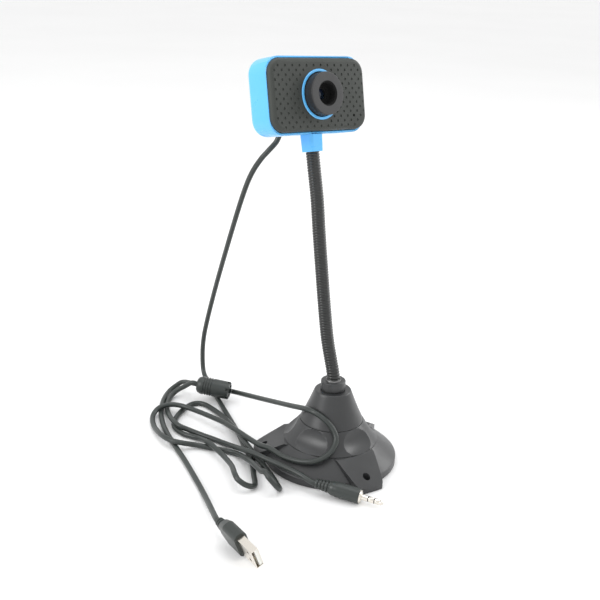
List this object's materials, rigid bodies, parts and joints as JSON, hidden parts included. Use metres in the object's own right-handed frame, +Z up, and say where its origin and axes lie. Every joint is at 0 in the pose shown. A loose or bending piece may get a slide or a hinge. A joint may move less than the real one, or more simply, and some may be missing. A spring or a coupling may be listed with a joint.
{
  "type": "webcam_on_gooseneck",
  "caption": "Small blue and grey webcam with a focus ring on a ribbed gooseneck, weighted round base with holed tabs, and a split USB and microphone lead",
  "frame": {"origin": "on the desk, under the middle of the round base", "axes": "+Z up; the camera looks along -Y, tilted slightly up; +X is to the right of someone facing the camera, which is the camera's own left"},
  "size_m": [0.1706, 0.2196, 0.254],
  "materials": {
    "rubber_black": "matt black rubber",
    "plastic_grey": "satin dark grey moulded plastic",
    "plastic_bezel": "satin warm dark grey moulded plastic",
    "plastic_blue": "pale sky blue semi-gloss plastic",
    "plastic_black": "satin black plastic",
    "neck_black": "black coated ribbed winding",
    "steel_spring": "oiled spring steel",
    "steel_zinc": "zinc plated steel",
    "lens_glass": "coated clear glass",
    "chip_dark": "moulded chip package",
    "board_green": "solder mask",
    "plastic_white": "white moulded plastic",
    "lead_rubber": "dark grey soft jacket",
    "nickel": "warm nickel plate",
    "gold": "gold plate"
  },
  "bodies": {
    "stand": {"foot_pad": "rubber_black", "bottom_plate": "plastic_grey", "base_foot": "plastic_grey", "ballast_weight": "steel_zinc", "base_screws": "steel_zinc", "grip_ring": "plastic_grey", "upper_cone": "plastic_grey", "neck_collar": "plastic_grey", "neck_nut": "steel_zinc", "neck_foot_ring": "steel_zinc", "gooseneck_winding": "neck_black", "gooseneck_spring": "steel_spring", "camera_lead_drop": "lead_rubber", "camera_lead_floor": "lead_rubber", "splitter_body": "lead_rubber", "usb_lead": "lead_rubber", "usb_relief": "lead_rubber", "usb_overmold": "lead_rubber", "usb_shell": "nickel", "usb_tongue": "plastic_white", "usb_contacts": "gold", "mic_lead": "lead_rubber", "jack_relief": "lead_rubber", "jack_overmold": "lead_rubber", "jack_sleeve": "nickel", "jack_ring": "nickel", "jack_tip": "nickel", "jack_insulators": "plastic_black"},
    "head": {"neck_socket": "plastic_blue", "rear_shell": "plastic_blue", "front_bezel": "plastic_bezel", "trim_ring": "plastic_blue", "lens_mount": "plastic_black", "infrared_filter": "lens_glass", "image_sensor": "chip_dark", "camera_board": "board_green", "image_processor": "chip_dark", "clock_crystal": "steel_zinc", "lead_header": "plastic_white", "board_screws": "steel_zinc", "case_screws": "steel_zinc", "microphone": "steel_zinc", "microphone_boot": "rubber_black", "lead_grommet": "lead_rubber"},
    "focus_barrel": {"focus_ring": "plastic_black"},
    "lens_barrel": {"lens_cell": "plastic_black", "front_lens": "lens_glass", "rear_lens": "lens_glass"}
  },
  "joints": [
    {"name": "neck_bend", "type": "hinge", "parent": "stand", "child": "head", "pos_m": [0.0012, 0.0168, 0.1256], "axis": [1, 0, 0], "range_deg": [-20, 60], "deforming": ["gooseneck_winding", "gooseneck_spring", "camera_lead_drop"]},
    {"name": "focus_turn", "type": "hinge", "parent": "head", "child": "focus_barrel", "pos_m": [0.0063, 0.0298, 0.2309], "axis": [0, -0.9707, 0.2402], "range_deg": [0, 270]},
    {"name": "focus_advance", "type": "slide", "parent": "head", "child": "lens_barrel", "axis": [0, -0.9707, 0.2402], "range_m": [-0.00005, 0.00305]}
  ],
  "couplings": [
    {"joint": "focus_advance", "follows": "focus_turn", "m_per_rad": 0.00063662}
  ]
}
